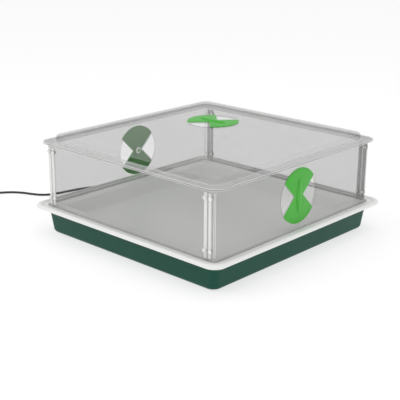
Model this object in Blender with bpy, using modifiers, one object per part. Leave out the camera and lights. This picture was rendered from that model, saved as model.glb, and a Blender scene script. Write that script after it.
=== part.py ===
# Heated propagator: a green base with a white growing tray, four clear walls joined at the
# corners by riveted strips, a clear lid, and three rotary vents. Metres, +Z up. The origin is
# on the floor under the middle of the base; the front wall faces -Y and the lead leaves at -X.

from math import cos, pi, radians, sin, sqrt

import bmesh
import bpy
from mathutils import Matrix, Vector

# Driving dimensions.
WIDTH = 0.600               # over the tray's flange, along X
DEPTH = 0.620               # over the tray's flange, along Y
GAP = 0.0003                # clearance left between touching pieces

BASE_TOP = 0.0662           # top of the base's rim
BASE_WALL = 0.0024
BASE_RADIUS = 0.018         # corner radius of the base in plan

TRAY_FLOOR = 0.0360         # where pots stand
TRAY_FLANGE = 0.0690        # top of the flat flange that carries the walls
TRAY_SHEET = 0.0025

WALL_INSET = 0.0300         # outer face of the walls, in from the flange's edge
WALL_SHEET = 0.0020
WALL_RADIUS = 0.0065
WALL_FOOT = TRAY_FLANGE + GAP
WALL_TOP = 0.2277
HALF_WALL_X = WIDTH / 2 - WALL_INSET
HALF_WALL_Y = DEPTH / 2 - WALL_INSET

STRIP_INSET = 0.0178        # middle of a corner strip, in from the outer face of the end wall
STRIP_WIDTH = 0.0225
STRIP_SHEET = 0.0012
RIDGE_OFFSET = 0.0080       # the strip's two ridges and its rivets, either side of its middle
RIDGE_WIDTH = 0.0040
RIDGE_HEIGHT = 0.0014
RIVET_HEIGHTS = (0.0900, 0.2050)
RIVET_SHANK = 0.0024
RIVET_HEAD = 0.0046

LID_EDGE = WALL_TOP + GAP   # underside of the lid's ledge
LID_TOP = 0.2440
LID_SHEET = 0.0020
LID_INSET = 0.0160
PLATEAU_INSET = 0.0393

VENT_RADIUS = 0.0650        # the rotary shutter
VENT_HEIGHT = (WALL_FOOT + WALL_TOP) / 2
VENT_NOTCH = 0.0145         # tip of the shutter's notches, out from its middle
VENT_COVER = 0.0020         # by which the shutter covers the hole's edges when it is shut
VENT_SHEET = 0.0020
LEFT_VENT_Y = 0.016
LOBE_ROUND = 0.0055         # radius of the corners of the shutter's two lobes
LID_VENT_X = -0.076
LID_VENT_Y = 0.0965
STUB_RADIUS = 0.0040

INSULATION_INSET = 0.066
INSULATION_TOP = 0.0267
ELEMENT_RADIUS = 0.0020
ELEMENT_RUNS = 9
ELEMENT_PITCH = 0.050
ELEMENT_HALF_RUN = 0.205

LEAD_RADIUS = 0.0030
LEAD_BORE = 0.0036
LEAD_Y = 0.085              # where the lead leaves the base's -X side
LEAD_Z = 0.030
GLAND_FLANGE = 0.0075
RELIEF_LENGTH = 0.034

COIL_X, COIL_Y = -0.671, -0.212
COIL_TURN = 0.0325          # middle radius of the coil's turns
COIL_HALF_WIDTH = 0.0115    # of each of its two layers, close-wound
COIL_BOTTOM = 0.0018
PLUG_X, PLUG_Y = -0.632, -0.2995
PLUG_SIZE = (0.048, 0.050, 0.020)

CORNER_STEPS = 6


def clear_scene():
    for obj in list(bpy.data.objects):
        bpy.data.objects.remove(obj, do_unlink=True)


def new_collection(name):
    collection = bpy.data.collections.new(name)
    bpy.context.scene.collection.children.link(collection)
    return collection


clear_scene()
PART = new_collection("humidity_dome_tray")
CUTTERS = new_collection("cutters")


# Materials

def plastic(name, colour, roughness, metallic=0.0, alpha=1.0):
    """A material of its own for one piece, from a colour as red, green, blue in 0 to 1."""
    material = bpy.data.materials.new(name)
    material.use_nodes = True
    shader = material.node_tree.nodes["Principled BSDF"]
    shader.inputs["Base Color"].default_value = (*colour, 1.0)
    shader.inputs["Roughness"].default_value = roughness
    shader.inputs["Metallic"].default_value = metallic
    shader.inputs["Alpha"].default_value = alpha
    return material


FINISHES = {
    "base_green": ((0.032, 0.093, 0.068), 0.42, 0.0, 1.0),
    "tray_white": ((0.72, 0.73, 0.72), 0.38, 0.0, 1.0),
    "clear": ((0.78, 0.80, 0.79), 0.12, 0.0, 0.35),
    "vent_green": ((0.089, 0.434, 0.061), 0.36, 0.0, 1.0),
    "rivet_white": ((0.86, 0.86, 0.85), 0.35, 0.0, 1.0),
    "foam_white": ((0.80, 0.80, 0.78), 0.85, 0.0, 1.0),
    "foil": ((0.80, 0.80, 0.81), 0.28, 1.0, 1.0),
    "silicone_red": ((0.42, 0.06, 0.04), 0.55, 0.0, 1.0),
    "moulding_black": ((0.020, 0.020, 0.021), 0.45, 0.0, 1.0),
    "cord_black": ((0.014, 0.014, 0.015), 0.50, 0.0, 1.0),
    "pin_brass": ((0.70, 0.55, 0.24), 0.30, 1.0, 1.0),
}


# Making objects

def place(name, mesh, collection, frame=None):
    obj = bpy.data.objects.new(name, mesh)
    collection.objects.link(obj)
    obj.matrix_world = frame or Matrix()
    return obj


def finish_piece(obj, finish, smooth_angle=32):
    """Give a piece its own material and shade its round faces smooth."""
    colour, roughness, metallic, alpha = FINISHES[finish]
    obj.data.materials.append(plastic(obj.name, colour, roughness, metallic, alpha))
    obj.data.shade_smooth()
    obj.data.set_sharp_from_angle(angle=radians(smooth_angle))
    return obj


def as_cutter(obj):
    obj.hide_render = True
    obj.display_type = "WIRE"
    return obj


def boolean(obj, other, operation):
    modifier = obj.modifiers.new(other.name, "BOOLEAN")
    modifier.operation = operation
    modifier.object = other
    modifier.solver = "EXACT"


def to_mesh(name, bm):
    bmesh.ops.recalc_face_normals(bm, faces=bm.faces)
    mesh = bpy.data.meshes.new(name)
    bm.to_mesh(mesh)
    bm.free()
    return mesh


def add_loft(bm, rings, closed=False):
    """Join rings of points side by side; the ends are capped, or joined if the loft is closed."""
    loops = [[bm.verts.new(point) for point in ring] for ring in rings]
    pairs = list(zip(loops, loops[1:]))
    if closed:
        pairs.append((loops[-1], loops[0]))
    else:
        bm.faces.new(loops[0])
        bm.faces.new(loops[-1])
    for low, high in pairs:
        for i in range(len(low)):
            j = (i + 1) % len(low)
            bm.faces.new((low[i], low[j], high[j], high[i]))


def loft_mesh(name, rings, closed=False):
    bm = bmesh.new()
    add_loft(bm, rings, closed)
    return to_mesh(name, bm)


def rounded_rectangle(half_x, half_y, radius, z):
    """A ring of points round a rectangle with round corners, anticlockwise from +X."""
    ring = []
    for side_x, side_y, start in ((1, 1, 0), (-1, 1, 90), (-1, -1, 180), (1, -1, 270)):
        for step in range(CORNER_STEPS + 1):
            angle = radians(start + 90 * step / CORNER_STEPS)
            x = side_x * (half_x - radius) + radius * cos(angle)
            y = side_y * (half_y - radius) + radius * sin(angle)
            ring.append((x, y, z))
    return ring


def shell_rings(profile):
    """Rings for a profile of (inset from the flange's edge, z, corner radius)."""
    return [rounded_rectangle(WIDTH / 2 - inset, DEPTH / 2 - inset, radius, z)
            for inset, z, radius in profile]


def add_cylinder(bm, radius, low, high, segments, frame=None):
    """A cylinder along the Z axis of a frame, from low to high."""
    move = (frame or Matrix()) @ Matrix.Translation((0, 0, (low + high) / 2))
    bmesh.ops.create_cone(bm, cap_ends=True, segments=segments, radius1=radius, radius2=radius,
                          depth=high - low, matrix=move)


def turned(name, profile, closed, steps, collection, frame):
    """A profile of (radius, z), down its outer side, turned round the frame's Z axis."""
    mesh = bpy.data.meshes.new(name)
    edges = [(i, i + 1) for i in range(len(profile) - 1)]
    if closed:
        edges.append((len(profile) - 1, 0))
    mesh.from_pydata([(radius, 0, z) for radius, z in profile], edges, [])
    obj = place(name, mesh, collection, frame)
    screw = obj.modifiers.new("turn", "SCREW")
    screw.angle = 2 * pi
    screw.steps = steps
    screw.render_steps = steps
    screw.use_merge_vertices = True
    screw.merge_threshold = 0.00001
    screw.use_smooth_shade = False
    return obj


def box_mesh(name, low, high, bevel=0.0):
    """A box between two corners, with its edges bevelled."""
    bm = bmesh.new()
    size = Vector(high) - Vector(low)
    middle = (Vector(high) + Vector(low)) / 2
    matrix = Matrix.Translation(middle) @ Matrix.Diagonal((*size, 1))
    bmesh.ops.create_cube(bm, size=1.0, matrix=matrix)
    if bevel:
        bmesh.ops.bevel(bm, geom=bm.edges[:], offset=bevel, segments=2, affect="EDGES", profile=0.5)
    return to_mesh(name, bm)


def axis_frame(origin, z_axis, x_axis):
    """A frame at a point, with its Z and X axes along the given directions."""
    z = Vector(z_axis).normalized()
    x = (Vector(x_axis) - z * Vector(x_axis).dot(z)).normalized()
    y = z.cross(x)
    frame = Matrix((x, y, z)).transposed().to_4x4()
    frame.translation = origin
    return frame


# Base and tray

def arc(centre_inset, centre_z, radius, start, end, steps):
    """Profile points on an arc; 0 degrees points outwards and 90 degrees up."""
    points = []
    for step in range(steps + 1):
        angle = radians(start + (end - start) * step / steps)
        points.append((centre_inset - radius * cos(angle), centre_z + radius * sin(angle)))
    return points


def base_profile():
    """The base in section: up its outer side, over the rim, and down its inner side."""
    outer = arc(0.0407, 0.0100, 0.0100, 270, 188, 4)
    outer = [(0.0407 * 2 - inset, z) for inset, z in outer]
    rim = [(0.0236, 0.0632), (0.0222, 0.0640), (0.0140, 0.0640), (0.0140, BASE_TOP),
           (0.0262, BASE_TOP)]
    inner = arc(0.0407, 0.0100, 0.0100 - BASE_WALL, 188, 270, 4)
    inner = [(0.0407 * 2 - inset, z) for inset, z in inner]
    return outer, rim, inner


def make_base(gland_frame):
    outer, rim, inner = base_profile()
    profile = [(inset, z, BASE_RADIUS) for inset, z in outer + rim + inner]
    obj = place("base_tray", loft_mesh("base_tray", shell_rings(profile)), PART)
    bm = bmesh.new()
    add_cylinder(bm, 0.0066, -0.02, 0.02, 20, gland_frame)
    hole = as_cutter(place("gland_hole", to_mesh("gland_hole", bm), CUTTERS))
    boolean(obj, hole, "DIFFERENCE")
    return finish_piece(obj, "base_green")


def make_growing_tray():
    """White tray: a recessed floor, a flat flange for the walls, and a rolled outer lip."""
    top = [(0.0650, TRAY_FLOOR, 0.020), (0.0632, 0.0366, 0.021), (0.0622, 0.0380, 0.022),
           (0.0556, 0.0665, 0.024), (0.0546, 0.0684, 0.0245), (0.0525, TRAY_FLANGE, 0.025),
           (0.0135, TRAY_FLANGE, 0.026), (0.0112, 0.0702, 0.026), (0.0096, 0.0724, 0.026),
           (0.0078, 0.0735, 0.026), (0.0036, 0.0735, 0.026), (0.0012, 0.0724, 0.026),
           (0.0000, 0.0698, 0.026), (0.0000, 0.0655, 0.026), (0.0008, 0.0645, 0.026)]
    under = [(0.0026, 0.0645, 0.025), (0.0026, 0.0696, 0.025), (0.0045, 0.0710, 0.025),
             (0.0078, 0.0710, 0.025), (0.0098, 0.0685, 0.025), (0.0125, 0.0665, 0.025),
             (0.0508, 0.0665, 0.026), (0.0522, 0.0660, 0.026), (0.0532, 0.0646, 0.0255),
             (0.0598, 0.0372, 0.0240), (0.0608, 0.0350, 0.0230),
             (0.0626, TRAY_FLOOR - TRAY_SHEET, 0.0215)]
    obj = place("growing_tray", loft_mesh("growing_tray", shell_rings(top + under)), PART)
    return finish_piece(obj, "tray_white")


def flat_slab(name, inset, radius, low, high, edge, finish):
    """A flat board with round corners and a small chamfer at its top and bottom."""
    profile = [(inset + edge, low, radius), (inset, low + edge, radius),
               (inset, high - edge, radius), (inset + edge, high, radius)]
    obj = place(name, loft_mesh(name, shell_rings(profile)), PART)
    return finish_piece(obj, finish)


def make_heating_cable(plate_top):
    """The element: straight runs along X, joined by half-turns, flat on the heater plate."""
    points = []
    turn = ELEMENT_PITCH / 2
    for run in range(ELEMENT_RUNS):
        y = (run - (ELEMENT_RUNS - 1) / 2) * ELEMENT_PITCH
        side = 1 if run % 2 == 0 else -1
        points.append((-side * ELEMENT_HALF_RUN, y))
        points.append((side * ELEMENT_HALF_RUN, y))
        if run < ELEMENT_RUNS - 1:
            for step in range(1, 6):
                angle = radians(-90 + 30 * step)
                x = side * (ELEMENT_HALF_RUN + turn * cos(angle) * 0.6)
                points.append((x, y + turn + turn * sin(angle)))
    z = plate_top + GAP + ELEMENT_RADIUS
    obj = curve_tube("heating_cable", [(x, y, z) for x, y in points], ELEMENT_RADIUS, 2)
    return finish_curve(obj, "silicone_red")


def curve_tube(name, points, radius, resolution):
    curve = bpy.data.curves.new(name, "CURVE")
    curve.dimensions = "3D"
    curve.bevel_depth = radius
    curve.bevel_resolution = resolution
    curve.use_fill_caps = True
    spline = curve.splines.new("POLY")
    spline.points.add(len(points) - 1)
    for point, place_at in zip(spline.points, points):
        point.co = (*place_at, 1)
    obj = bpy.data.objects.new(name, curve)
    PART.objects.link(obj)
    return obj


def finish_curve(obj, finish):
    colour, roughness, metallic, alpha = FINISHES[finish]
    obj.data.materials.append(plastic(obj.name, colour, roughness, metallic, alpha))
    return obj


# Walls

def wall_section():
    """The walls in section, as (outwards from the outer face, z): a foot, a sheet, a flared top."""
    return [(-WALL_SHEET, WALL_FOOT), (0.0062, WALL_FOOT), (0.0062, 0.0711), (0.0012, 0.0713),
            (0.0000, 0.0725), (0.0000, 0.2178), (0.0018, 0.2188), (0.0078, 0.2246),
            (0.0084, 0.2260), (0.0084, WALL_TOP), (0.0060, WALL_TOP), (0.0056, 0.2258),
            (0.0000, 0.2204), (-WALL_SHEET, 0.2190)]


def swept_wall(name, path):
    """A wall whose section follows a path of (point, outward direction) in plan."""
    rings = []
    for point, outward in path:
        rings.append([(point.x + outward.x * out, point.y + outward.y * out, z)
                      for out, z in wall_section()])
    return place(name, loft_mesh(name, rings), PART)


def side_path(side):
    """A flat wall between the two corner strips, on the side +1 (rear) or -1 (front)."""
    half = HALF_WALL_X - STRIP_INSET - GAP
    outward = Vector((0, side))
    return [(Vector((-side * half, side * HALF_WALL_Y)), outward),
            (Vector((side * half, side * HALF_WALL_Y)), outward)]


def end_path(side):
    """An end wall with its two round corners, on the side +1 (right) or -1 (left)."""
    path = []
    seam = HALF_WALL_X - STRIP_INSET + GAP
    path.append((Vector((side * seam, -HALF_WALL_Y)), Vector((0, -1))))
    for end_y in (-1, 1):
        centre = Vector((side * (HALF_WALL_X - WALL_RADIUS), end_y * (HALF_WALL_Y - WALL_RADIUS)))
        for step in range(5):
            angle = radians(90 * step / 4 if end_y > 0 else 90 * step / 4 - 90)
            outward = Vector((side * cos(angle), sin(angle)))
            path.append((centre + outward * WALL_RADIUS, outward))
    path.append((Vector((side * seam, HALF_WALL_Y)), Vector((0, 1))))
    return path


def rivet_places(side_x, side_y):
    """The four rivets of one corner, as (x, z), bottom pair first."""
    middle = side_x * (HALF_WALL_X - STRIP_INSET)
    return [(middle + offset, z) for z in RIVET_HEIGHTS for offset in (-RIDGE_OFFSET, RIDGE_OFFSET)]


def rivet_holes(name, side_x, side_y):
    bm = bmesh.new()
    for x, z in rivet_places(side_x, side_y):
        frame = axis_frame((x, side_y * HALF_WALL_Y, z), (0, side_y, 0), (1, 0, 0))
        add_cylinder(bm, RIVET_SHANK + 2 * GAP, -0.006, 0.006, 12, frame)
    return as_cutter(place(name, to_mesh(name, bm), CUTTERS))


def make_corner_strip(corner, side_x, side_y, holes):
    """A clear strip over the seam of two walls, with two ridges that the rivets stand on."""
    low, high = 0.0740, 0.2165
    ridge_low, ridge_high = RIDGE_OFFSET - RIDGE_WIDTH / 2, RIDGE_OFFSET + RIDGE_WIDTH / 2
    half = STRIP_WIDTH / 2
    top = STRIP_SHEET + RIDGE_HEIGHT
    slope = 0.0005
    right = [(half, 0), (half, STRIP_SHEET), (ridge_high + slope, STRIP_SHEET), (ridge_high, top),
             (ridge_low, top), (ridge_low - slope, STRIP_SHEET)]
    outline = right + [(-x, out) for x, out in reversed(right)]
    frame = axis_frame((side_x * (HALF_WALL_X - STRIP_INSET), side_y * (HALF_WALL_Y + GAP), 0),
                       (0, 0, 1), (side_y, 0, 0))
    rings = [[frame @ Vector((x, out, z)) for x, out in outline] for z in (low, high)]
    obj = place("corner_strip_" + corner, loft_mesh("corner_strip_" + corner, rings), PART)
    boolean(obj, holes, "DIFFERENCE")
    return finish_piece(obj, "clear")


def make_rivet(name, x, z, side_y):
    """A push rivet: a domed head on the strip's ridge, a shank, and a spread end inside."""
    seat = GAP + STRIP_SHEET + RIDGE_HEIGHT + GAP
    inside = -WALL_SHEET - GAP
    profile = [(0.0, seat + 0.0030), (0.0018, seat + 0.0028), (0.0034, seat + 0.0021),
               (RIVET_HEAD, seat + 0.0008), (RIVET_HEAD, seat), (RIVET_SHANK, seat),
               (RIVET_SHANK, inside), (0.0036, inside), (0.0034, inside - 0.0012),
               (0.0014, inside - 0.0028), (0.0, inside - 0.0028)]
    frame = axis_frame((x, side_y * HALF_WALL_Y, z), (0, side_y, 0), (1, 0, 0))
    obj = turned(name, profile, False, 12, PART, frame)
    return finish_piece(obj, "rivet_white")


def make_walls():
    holes = {}
    corners = (("front_left", -1, -1), ("front_right", 1, -1), ("rear_left", -1, 1),
               ("rear_right", 1, 1))
    for corner, side_x, side_y in corners:
        holes[corner] = rivet_holes("rivet_holes_" + corner, side_x, side_y)
        make_corner_strip(corner, side_x, side_y, holes[corner])
        for number, (x, z) in enumerate(rivet_places(side_x, side_y), 1):
            make_rivet("rivet_%s_%d" % (corner, number), x, z, side_y)
    walls = {"front": swept_wall("front_wall", side_path(-1)),
             "rear": swept_wall("rear_wall", side_path(1)),
             "left": swept_wall("left_wall", end_path(-1)),
             "right": swept_wall("right_wall", end_path(1))}
    for side, wall in walls.items():
        for corner, cutter in holes.items():
            if side in corner.split("_"):
                boolean(wall, cutter, "DIFFERENCE")
        finish_piece(wall, "clear")
    return walls


# Lid

def make_lid():
    """The lid in section: from its raised top down to a ledge, a turned-down lip, and back."""
    edge = LID_EDGE
    top = [(PLATEAU_INSET + 0.0035, LID_TOP, 0.0210), (PLATEAU_INSET + 0.0012, 0.2434, 0.0232),
           (PLATEAU_INSET, 0.2415, 0.0240), (0.0376, 0.2318, 0.0245), (0.0362, 0.2302, 0.0250),
           (0.0190, 0.2302, 0.0250), (0.0170, 0.2295, 0.0255), (LID_INSET, 0.2278, 0.0260),
           (LID_INSET, 0.2245, 0.0260)]
    under = [(0.0180, 0.2245, 0.0240), (0.0182, 0.2270, 0.0240), (0.0194, edge, 0.0235),
             (0.0374, edge, 0.0235), (0.0394, 0.2305, 0.0225), (0.0413, 0.2404, 0.0220),
             (PLATEAU_INSET + 0.0040, LID_TOP - LID_SHEET, 0.0200)]
    obj = place("lid", loft_mesh("lid", shell_rings(top + under)), PART)
    return finish_piece(obj, "clear")


# Rotary vents. A vent's frame has its Z axis outwards from the sheet's face, its X axis
# towards the two openings, and its Y axis along the shutter's two lobes.

def notch_corner(tip, radius):
    """Where a square notch with its tip on the X axis meets a circle: the corner's angle."""
    x = (tip + sqrt(2 * radius ** 2 - tip ** 2)) / 2
    return (x, x - tip)


def lobe_arc(radius, start_point, end_point, steps):
    """Points on a circle from one point on it to another, anticlockwise."""
    start = Vector(start_point).angle_signed(Vector((1, 0)))
    end = Vector(end_point).angle_signed(Vector((1, 0)))
    if end < start:
        end += 2 * pi
    return [(radius * cos(start + (end - start) * step / steps),
             radius * sin(start + (end - start) * step / steps)) for step in range(steps + 1)]


def shutter_outline():
    """A bow tie: a disc with two square notches on the frame's X axis, its corners rounded."""
    x, y = notch_corner(VENT_NOTCH - LOBE_ROUND * sqrt(2), VENT_RADIUS - LOBE_ROUND)
    turn = Vector((1, 0)).angle(Vector((x, y)))
    corner = []
    for step in range(6):
        angle = -pi / 4 + (turn + pi / 4) * step / 5
        corner.append((x + LOBE_ROUND * cos(angle), y + LOBE_ROUND * sin(angle)))
    far_corner = [(-px, py) for px, py in reversed(corner)]
    upper = corner + lobe_arc(VENT_RADIUS, corner[-1], far_corner[0], 12)[1:-1] + far_corner
    lower = [(-px, -py) for px, py in upper]
    return upper + [(-VENT_NOTCH, 0)] + lower + [(VENT_NOTCH, 0)]


def hole_outline(side):
    """One opening in the sheet, a little smaller than the shutter's notch."""
    tip = VENT_NOTCH + VENT_COVER
    radius = VENT_RADIUS - VENT_COVER * 1.7
    x, y = notch_corner(tip, radius)
    rim = lobe_arc(radius, (x, -y), (x, y), 8)
    return [(side * px, side * py) for px, py in [(tip, 0)] + rim]


def prism_rings(outline, low, high):
    return [[(x, y, z) for x, y in outline] for z in (low, high)]


def vent_cutter(name, frame):
    """The two openings and the hole for the shutter's stub, through a sheet."""
    bm = bmesh.new()
    for side in (-1, 1):
        add_loft(bm, prism_rings(hole_outline(side), -0.006, 0.004))
    add_cylinder(bm, STUB_RADIUS + GAP, -0.006, 0.004, 16)
    return as_cutter(place(name, to_mesh(name, bm), CUTTERS, frame))


def vent_ring(name, frame):
    """A low ring moulded on the sheet round the shutter."""
    inner, outer = VENT_RADIUS + 0.0006, VENT_RADIUS + 0.0026
    profile = [(outer - 0.0004, 0.0013), (outer, -0.0008), (inner, -0.0008), (inner, 0.0013)]
    return as_cutter(turned(name, profile, True, 48, CUTTERS, frame))


def make_shutter(name, frame):
    """A bow-tie plate with a tapered grip rib outside and a stub through the sheet."""
    bottom = GAP
    top = bottom + VENT_SHEET
    rings = prism_rings(shutter_outline(), bottom, top)
    obj = place(name, loft_mesh(name, rings), PART, frame)
    rib = place(name + "_rib", loft_mesh(name + "_rib", rib_rings(top)), CUTTERS, frame)
    bm = bmesh.new()
    add_cylinder(bm, STUB_RADIUS, -0.0078, top - 0.0007, 16)
    stub = place(name + "_stub", to_mesh(name + "_stub", bm), CUTTERS, frame)
    boolean(obj, as_cutter(rib), "UNION")
    boolean(obj, as_cutter(stub), "UNION")
    return finish_piece(obj, "vent_green")


def rib_rings(top):
    """The grip rib: a spindle in plan that narrows towards its crest and its ends."""
    levels = ((top - 0.0006, 1.0, 1.0), (top + 0.0040, 0.75, 0.97), (top + 0.0056, 0.45, 0.93))
    half_length, half_width = 0.0450, 0.0065
    rings = []
    for z, width, length in levels:
        ring = []
        for side in (1, -1):
            for step in range(9):
                along = -1 + 2 * step / 8
                x = side * width * half_width * (1 - 0.80 * along ** 2)
                ring.append((x, side * along * length * half_length, z))
        rings.append(ring)
    return rings


def make_clip(name, frame):
    """The white washer that holds the shutter's stub inside the sheet."""
    near = -WALL_SHEET - GAP
    inner = STUB_RADIUS + GAP
    profile = [(0.0078, near), (0.0086, near - 0.0006), (0.0086, near - 0.0020),
               (0.0070, near - 0.0032), (inner, near - 0.0032), (inner, near)]
    return finish_piece(turned(name, profile, True, 18, PART, frame), "rivet_white")


def make_vent(side, sheet, frame):
    boolean(sheet, vent_ring("vent_ring_" + side, frame), "UNION")
    boolean(sheet, vent_cutter("vent_openings_" + side, frame), "DIFFERENCE")
    make_shutter("vent_shutter_" + side, frame)
    make_clip("vent_clip_" + side, frame)


# Lead

def smooth_route(points, step):
    """Points at even steps along a smooth curve (a centripetal spline) through a route."""
    route = [Vector(point) for point in points]
    route = [2 * route[0] - route[1]] + route + [2 * route[-1] - route[-2]]
    dense = []
    for i in range(1, len(route) - 2):
        dense += [spline_point(route[i - 1:i + 3], part / 12) for part in range(12)]
    dense.append(route[-2])
    return even_points(dense, step)


def spline_point(four, part):
    """A point between the middle two of four, by the centripetal Catmull-Rom rule."""
    times = [0.0]
    for near, far in zip(four, four[1:]):
        times.append(times[-1] + sqrt((far - near).length))
    time = times[1] + (times[2] - times[1]) * part
    level = list(four)
    for span in ((0, 1), (0, 2), (1, 2)):
        level = [blended(level, times, i, time, span) for i in range(len(level) - 1)]
    return level[0]


def blended(level, times, i, time, span):
    """A point between two neighbours of a level, by where the time falls between their knots."""
    low, high = times[i + span[0]], times[i + span[1]]
    return level[i].lerp(level[i + 1], (time - low) / (high - low))


def even_points(dense, step):
    total = sum((b - a).length for a, b in zip(dense, dense[1:]))
    count = max(2, round(total / step))
    wanted, points, walked = total / count, [dense[0]], 0.0
    for a, b in zip(dense, dense[1:]):
        length = (b - a).length
        while walked + length >= wanted * len(points) and len(points) < count:
            points.append(a.lerp(b, (wanted * len(points) - walked) / length))
        walked += length
    return points + [dense[-1]]


def gland_axis():
    """The gland stands square on the base's sloping -X side, so it points slightly down."""
    outer, rim, _ = base_profile()
    low, high = Vector(outer[-1]), Vector(rim[0])
    part = (LEAD_Z - low.y) / (high.y - low.y)
    inset = low.x + (high.x - low.x) * part
    slope = Vector((high.y - low.y, 0, high.x - low.x))
    outward = Vector((-slope.x, 0, slope.z))
    return axis_frame((-(WIDTH / 2 - inset), LEAD_Y, LEAD_Z), outward, (0, 1, 0))


def make_gland(frame):
    nut_out, nut_in = -BASE_WALL - 0.0009, -BASE_WALL - 0.0059
    body = [(0.0078, GAP + GLAND_FLANGE), (0.0095, GAP + 0.0060), (0.0100, GAP), (0.0062, GAP),
            (0.0062, -0.0120), (LEAD_BORE, -0.0120), (LEAD_BORE, GAP + GLAND_FLANGE)]
    finish_piece(turned("cable_gland", body, True, 20, PART, frame), "moulding_black")
    nut = [(0.0108, nut_out), (0.0108, nut_in), (0.0076, nut_in), (0.0076, nut_out)]
    finish_piece(turned("gland_nut", nut, True, 6, PART, frame), "moulding_black", 20)
    foot = GLAND_FLANGE + 2 * GAP
    relief = [(0.0042, foot + RELIEF_LENGTH), (0.0058, foot + 0.0020), (0.0062, foot),
              (LEAD_BORE, foot), (LEAD_BORE, foot + RELIEF_LENGTH)]
    finish_piece(turned("strain_relief", relief, True, 20, PART, frame), "cord_black")


def lead_route(frame):
    """From inside the strain relief, down to the floor and round to the coil."""
    tip = GLAND_FLANGE + 2 * GAP + RELIEF_LENGTH
    start = [tuple(frame @ Vector((0, 0, out))) for out in (tip - 0.022, tip, tip + 0.012)]
    lie = LEAD_RADIUS + 0.0002
    return start + [
        (-0.3440, 0.0848, 0.0172), (-0.3660, 0.0830, 0.0096), (-0.3880, 0.0780, 0.0045),
        (-0.4120, 0.0690, lie), (-0.4360, 0.0530, lie), (-0.4550, 0.0300, lie),
        (-0.4670, 0.0020, lie), (-0.4760, -0.0270, lie), (-0.4820, -0.0550, lie),
        (-0.4870, -0.0820, lie), (-0.4950, -0.1070, lie), (-0.5110, -0.1250, lie),
        (-0.5340, -0.1370, lie), (-0.5600, -0.1480, lie), (-0.5850, -0.1655, lie),
        (-0.6055, -0.1915, lie), (-0.6228, -0.2150, lie)]


def tail_route():
    """From the coil's upper turn to the plug."""
    boot = PLUG_Y + PLUG_SIZE[1] / 2 + 0.0123
    high = COIL_BOTTOM + 3 * LEAD_RADIUS
    return [(PLUG_X, COIL_Y - 0.0285, high + 0.0003), (PLUG_X, COIL_Y - 0.0350, high - 0.0004),
            (PLUG_X, boot + 0.0100, 0.0100), (PLUG_X, boot + GAP, 0.0100)]


def make_coil():
    """The outer shape of the lead's spare length, wound in two flat layers."""
    half = COIL_HALF_WIDTH
    low, high = COIL_BOTTOM, COIL_BOTTOM + 4 * LEAD_RADIUS + 0.0004
    inner, outer = COIL_TURN - half, COIL_TURN + half
    edge = 0.0018
    profile = [(inner + edge, high), (outer - edge, high), (outer, high - edge),
               (outer, low + edge), (outer - edge, low), (inner + edge, low),
               (inner, low + edge), (inner, high - edge)]
    frame = Matrix.Translation((COIL_X, COIL_Y, 0))
    return finish_piece(turned("lead_coil", profile, True, 36, PART, frame), "cord_black")


def make_cable_tie():
    """A thin band round the coil, in the plane that cuts its turns square."""
    half = COIL_HALF_WIDTH + GAP
    low, high = COIL_BOTTOM - GAP, COIL_BOTTOM + 4 * LEAD_RADIUS + 0.0004 + GAP
    sheet, width, corner = 0.0012, 0.0036, 0.0016
    sections = [tie_ring(half, low, high, corner, 0), tie_ring(half, low, high, corner, sheet)]
    angle = radians(215)
    frame = axis_frame((COIL_X, COIL_Y, 0), (-sin(angle), cos(angle), 0),
                       (cos(angle), sin(angle), 0))
    rings = []
    for section, side in ((0, -1), (1, -1), (1, 1), (0, 1)):
        rings.append([frame @ Vector((x, -z, side * width / 2)) for x, z in sections[section]])
    obj = place("cable_tie", loft_mesh("cable_tie", rings, closed=True), PART)
    return finish_piece(obj, "moulding_black")


def tie_ring(half, low, high, corner, out):
    """The band's inner or outer line, as (distance from the coil's axis, z)."""
    ring = []
    for side_x, side_z, start in ((1, 1, 0), (-1, 1, 90), (-1, -1, 180), (1, -1, 270)):
        middle_x = COIL_TURN + side_x * (half - corner)
        middle_z = (high - corner) if side_z > 0 else (low + corner)
        for step in range(4):
            angle = radians(start + 30 * step)
            ring.append((middle_x + (corner + out) * cos(angle),
                         middle_z + (corner + out) * sin(angle)))
    return ring


def make_plug():
    """A plain three-pin mains plug on its back, its pins up, with a short boot on the lead."""
    size_x, size_y, size_z = PLUG_SIZE
    low = (PLUG_X - size_x / 2, PLUG_Y - size_y / 2, 0.0002)
    high = (PLUG_X + size_x / 2, PLUG_Y + size_y / 2, size_z)
    finish_piece(place("plug_body", box_mesh("plug_body", low, high, 0.0035), PART),
                 "moulding_black")
    frame = axis_frame((PLUG_X, high[1] + GAP, 0.0100), (0, 1, 0), (1, 0, 0))
    boot = [(0.0, 0.0120), (0.0042, 0.0120), (0.0064, 0.0), (0.0, 0.0)]
    finish_piece(turned("plug_boot", boot, False, 16, PART, frame), "moulding_black")
    pins = (("earth", 0.0, 0.0125, 0.0040, 0.0080, 0.0227),
            ("live", 0.0111, -0.0098, 0.0064, 0.0040, 0.0177),
            ("neutral", -0.0111, -0.0098, 0.0064, 0.0040, 0.0177))
    for name, x, y, along_x, along_y, length in pins:
        low = (PLUG_X + x - along_x / 2, PLUG_Y + y - along_y / 2, size_z + GAP)
        high = (PLUG_X + x + along_x / 2, PLUG_Y + y + along_y / 2, size_z + length)
        mesh = box_mesh("plug_pin_" + name, low, high, 0.0006)
        finish_piece(place("plug_pin_" + name, mesh, PART), "pin_brass")


def make_connection_box():
    """The cover over the joint between the lead and the element, inside the base."""
    low = (-0.2580, LEAD_Y - 0.024, 0.0030)
    high = (-0.2425, LEAD_Y + 0.024, 0.0390)
    obj = place("connection_box", box_mesh("connection_box", low, high, 0.0015), PART)
    return finish_piece(obj, "moulding_black")


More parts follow.
